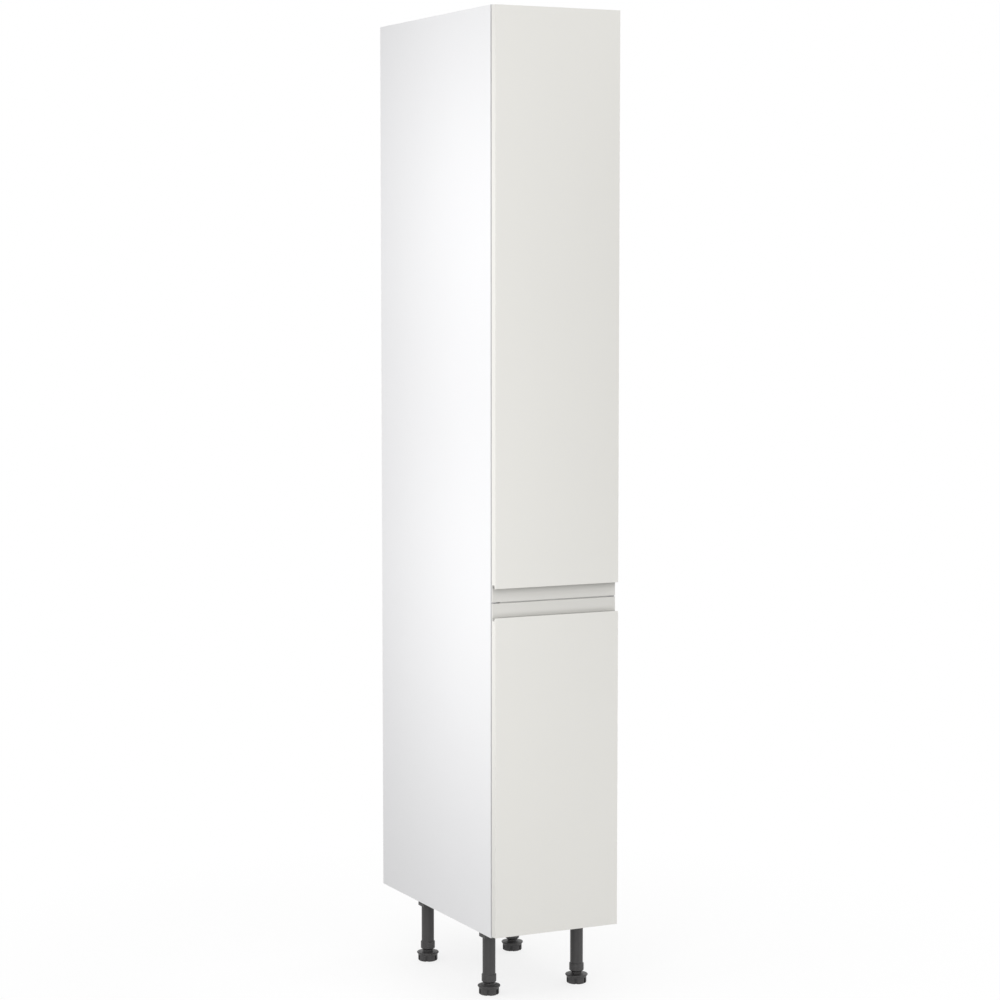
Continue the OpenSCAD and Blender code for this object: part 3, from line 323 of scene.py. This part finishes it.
def soften(piece, width):
    """Rounds a CAD node's sharp edges a little and evens its shading; the mesh itself stays."""
    weld = piece.modifiers.new("weld", "WELD")
    weld.merge_threshold = 1e-6
    bevel = piece.modifiers.new("bevel", "BEVEL")
    bevel.width = width
    bevel.segments = 2
    bevel.limit_method = "ANGLE"
    bevel.angle_limit = BEVEL_ANGLE
    normals = piece.modifiers.new("normals", "WEIGHTED_NORMAL")
    normals.keep_sharp = False


def dress_nodes():
    for part in frame["record"]["subparts"]:
        node = frame["nodes"][part["node"]]
        slot = part["material_slot"]
        node.data.materials.clear()
        node.data.materials.append(MATERIALS[slot])
        if slot in SOFT_EDGES:
            soften(node, SOFT_EDGES[slot])


# Added fittings

def piece_from(name, mesh_maker, material, body):
    mesh = bpy.data.meshes.new(name)
    shape = bmesh.new()
    mesh_maker(shape)
    bmesh.ops.recalc_face_normals(shape, faces=shape.faces)
    shape.to_mesh(mesh)
    shape.free()
    for face in mesh.polygons:
        face.use_smooth = True
    piece = bpy.data.objects.new(name, mesh)
    bpy.context.scene.collection.objects.link(piece)
    mesh.materials.append(MATERIALS[material])
    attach(piece, body)


def lathe(shape, profile, at, turns=32):
    """Adds a body turned round the Y axis through at; profile is [(radius, y), ...]."""
    rings = []
    for radius, y in profile:
        if radius == 0:
            rings.append([shape.verts.new(at + Vector((0, y, 0)))] * turns)
            continue
        rings.append([shape.verts.new(at + Vector((radius * math.cos(2 * math.pi * k / turns), y,
                                                   radius * math.sin(2 * math.pi * k / turns))))
                      for k in range(turns)])
    for a, b in zip(rings, rings[1:]):
        for k in range(turns):
            corners = [a[k], a[(k + 1) % turns], b[(k + 1) % turns], b[k]]
            shape.faces.new(list(dict.fromkeys(corners)))


BUMPER_R = 0.0048
BUMPER_EDGE = 0.022
BUMPER_FILL = 0.85                # share of the gap that a bumper takes up
BUMPER_SKIRT = 0.35               # share of its height below the dome


def bumpers(shape):
    """Soft domes on the fronts' backs that land on the carcass's front edges."""
    height = (SIDE_LOW.y - UPPER_HIGH.y) * BUMPER_FILL
    skirt = height * BUMPER_SKIRT
    profile = [(0, 0), (BUMPER_R, 0)]
    profile += [(BUMPER_R * math.cos(math.radians(a)), skirt + (height - skirt) * math.sin(math.radians(a)))
                for a in range(0, 90, 15)] + [(0, height)]
    heights = [LOWER_LOW.z + BUMPER_EDGE, LOWER_HIGH.z - BUMPER_EDGE, UPPER_LOW.z + BUMPER_EDGE,
               UPPER_HIGH.z - BUMPER_EDGE]
    x = SIDE_HIGH.x - BOARD_T / 2
    for z in heights:
        for side in (-1, 1):
            lathe(shape, profile, Vector((side * x, UPPER_HIGH.y, z)))


# Light, floor and camera

def area_light(name, at, aim, size, watts):
    data = bpy.data.lights.new(name, "AREA")
    data.shape = "RECTANGLE"
    data.size, data.size_y = size
    data.energy = watts
    lamp = bpy.data.objects.new(name, data)
    lamp.location = at
    lamp.rotation_euler = (Vector(aim) - Vector(at)).to_track_quat("-Z", "Y").to_euler()
    bpy.context.scene.collection.objects.link(lamp)


def seen_directly(tree):
    """1 for rays that show the background: from the camera, or mirrored or refracted by the object."""
    path = tree.nodes.new("ShaderNodeLightPath").outputs
    total = path["Is Camera Ray"]
    for name in ("Is Glossy Ray", "Is Transmission Ray"):
        either = tree.nodes.new("ShaderNodeMath")
        either.operation = "MAXIMUM"
        tree.links.new(total, either.inputs[0])
        tree.links.new(path[name], either.inputs[1])
        total = either.outputs[0]
    return total


def world_light(strength):
    world = bpy.data.worlds.new("studio")
    bpy.context.scene.world = world
    world.use_nodes = True
    tree = world.node_tree
    background = tree.nodes["Background"]
    background.inputs["Color"].default_value = rgb(1, 1, 1)
    level = tree.nodes.new("ShaderNodeMapRange")
    level.inputs["To Min"].default_value = strength
    level.inputs["To Max"].default_value = 1.0
    tree.links.new(seen_directly(tree), level.inputs["Value"])
    tree.links.new(level.outputs["Result"], background.inputs["Strength"])


FLOOR_SIZE = 30.0
SHADOW_SHARE = 0.22
FLOOR_SHOWN = rgb(0.97, 0.97, 0.97)
FLOOR_BOUNCE = rgb(0.36, 0.36, 0.355)
SHADOW_NEAR = 0.35
SHADOW_GONE = 1.4


def studio_floor():
    """White floor that melts into the background and still takes a soft shadow."""
    mesh = bpy.data.meshes.new("floor")
    half = FLOOR_SIZE / 2
    mesh.from_pydata([(-half, -half, 0), (half, -half, 0), (half, half, 0), (-half, half, 0)], [],
                     [(0, 1, 2, 3)])
    floor = bpy.data.objects.new("floor", mesh)
    bpy.context.scene.collection.objects.link(floor)
    s = Shader("floor")
    far = s.add("VectorMath", {0: s.place()}, operation="LENGTH").outputs["Value"]
    share = s.spread(far, SHADOW_SHARE, 0.0, SHADOW_NEAR, SHADOW_GONE)
    seen = seen_directly(s.tree)
    fleck = s.mix(s.noise(4, 2), FLOOR_SHOWN, scaled(FLOOR_SHOWN, 0.98))
    shade = s.finish(Base_Color=s.mix(seen, FLOOR_BOUNCE, fleck),
                     Roughness=s.spread(s.noise(30, 2), 0.6, 0.7))
    glow = s.add("Emission", {"Color": rgb(1, 1, 1), "Strength": 1.0}).outputs[0]
    shown = s.add("MixShader", {0: share, 1: glow, 2: s.surface.outputs[0]}).outputs[0]
    either = s.add("MixShader", {0: seen, 1: s.surface.outputs[0], 2: shown})
    s.tree.links.new(either.outputs[0], s.tree.nodes["Material Output"].inputs["Surface"])
    mesh.materials.append(shade)


def photo_camera():
    data = bpy.data.cameras.new("camera")
    data.lens = CAMERA_LENS
    data.sensor_width = SENSOR
    camera = bpy.data.objects.new("camera", data)
    camera.location = CAMERA_AT
    look = Vector((math.sin(CAMERA_TURN) * math.cos(CAMERA_DIP),
                   math.cos(CAMERA_TURN) * math.cos(CAMERA_DIP), -math.sin(CAMERA_DIP)))
    camera.rotation_euler = look.to_track_quat("-Z", "Y").to_euler()
    bpy.context.scene.collection.objects.link(camera)
    bpy.context.scene.camera = camera


photo_camera()
dress_nodes()
piece_from("front_bumpers", bumpers, "silicone", "pull_out")
studio_floor()
world_light(0.74)
area_light("side_low", (-0.86, -0.13, 0.85), (-0.15, -0.05, 0.85), (0.6, 0.6), 1.95)
area_light("side_high", (-0.86, -0.13, 1.8), (-0.15, -0.05, 1.8), (0.6, 0.6), 2.1)
area_light("strip", (-0.84, -1.2, 1.22), (-0.1, -0.25, 1.22), (0.35, 2.4), 8.1)
area_light("front_low", (1.04, -1.61, 0.11), (0, -0.3, 0.11), (0.8, 0.6), 5.6)
area_light("front_high", (1.04, -1.61, 3.13), (0, -0.3, 3.13), (0.8, 0.6), 10.8)
area_light("right", (2.3, 1.0, 1.5), (0.15, 0.1, 1.2), (1.0, 1.6), 9)
area_light("behind", (0.6, 3.0, 2.4), (0, 0.3, 1.2), (1.2, 1.2), 9)
bpy.context.scene.view_settings.view_transform = "Standard"
